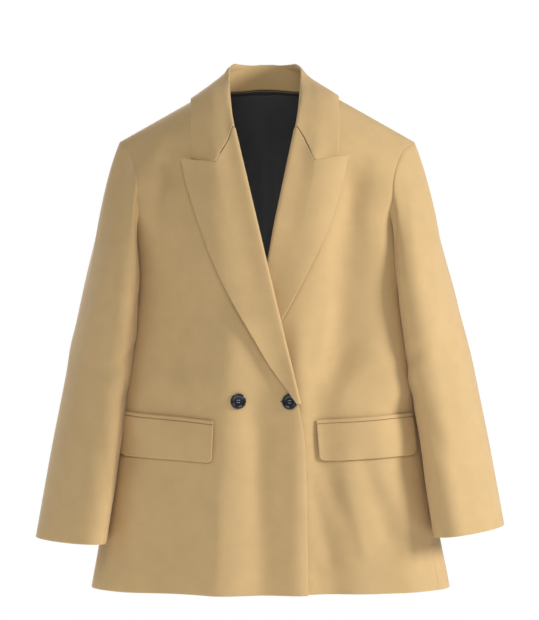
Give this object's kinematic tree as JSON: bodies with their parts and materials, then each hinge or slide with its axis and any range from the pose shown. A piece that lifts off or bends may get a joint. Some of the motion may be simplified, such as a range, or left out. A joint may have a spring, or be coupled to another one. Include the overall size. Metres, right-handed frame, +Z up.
{
  "type": "double breasted blazer",
  "caption": "Long hip-length double breasted blazer with peak lapels, flap pockets and set-in two-piece sleeves, shown worn and closed, hollow inside.",
  "frame": {"origin": "centre of the neck base, level with the back neck seam", "axes": "+Z up, front of the blazer faces -Y, +X to the wearer's left"},
  "size_m": [0.678, 0.2448, 0.7606],
  "materials": {
    "suiting": "matt camel suiting, fine twill",
    "lining": "black satin lining",
    "button": "near-black polished button"
  },
  "bodies": {
    "root": {"front_over": "suiting", "front_under": "suiting", "side_right": "suiting", "side_left": "suiting", "back_right": "suiting", "back_left": "suiting", "top_sleeve_right": "suiting", "top_sleeve_left": "suiting", "under_sleeve_right": "suiting", "under_sleeve_left": "suiting", "collar": "suiting", "lapel_over": "suiting", "lapel_under": "suiting", "jet_right": "suiting", "jet_left": "suiting", "flap_right": "suiting", "flap_left": "suiting", "back_lining": "lining", "button_outer": "button", "button_closing": "button"}
  },
  "joints": []
}
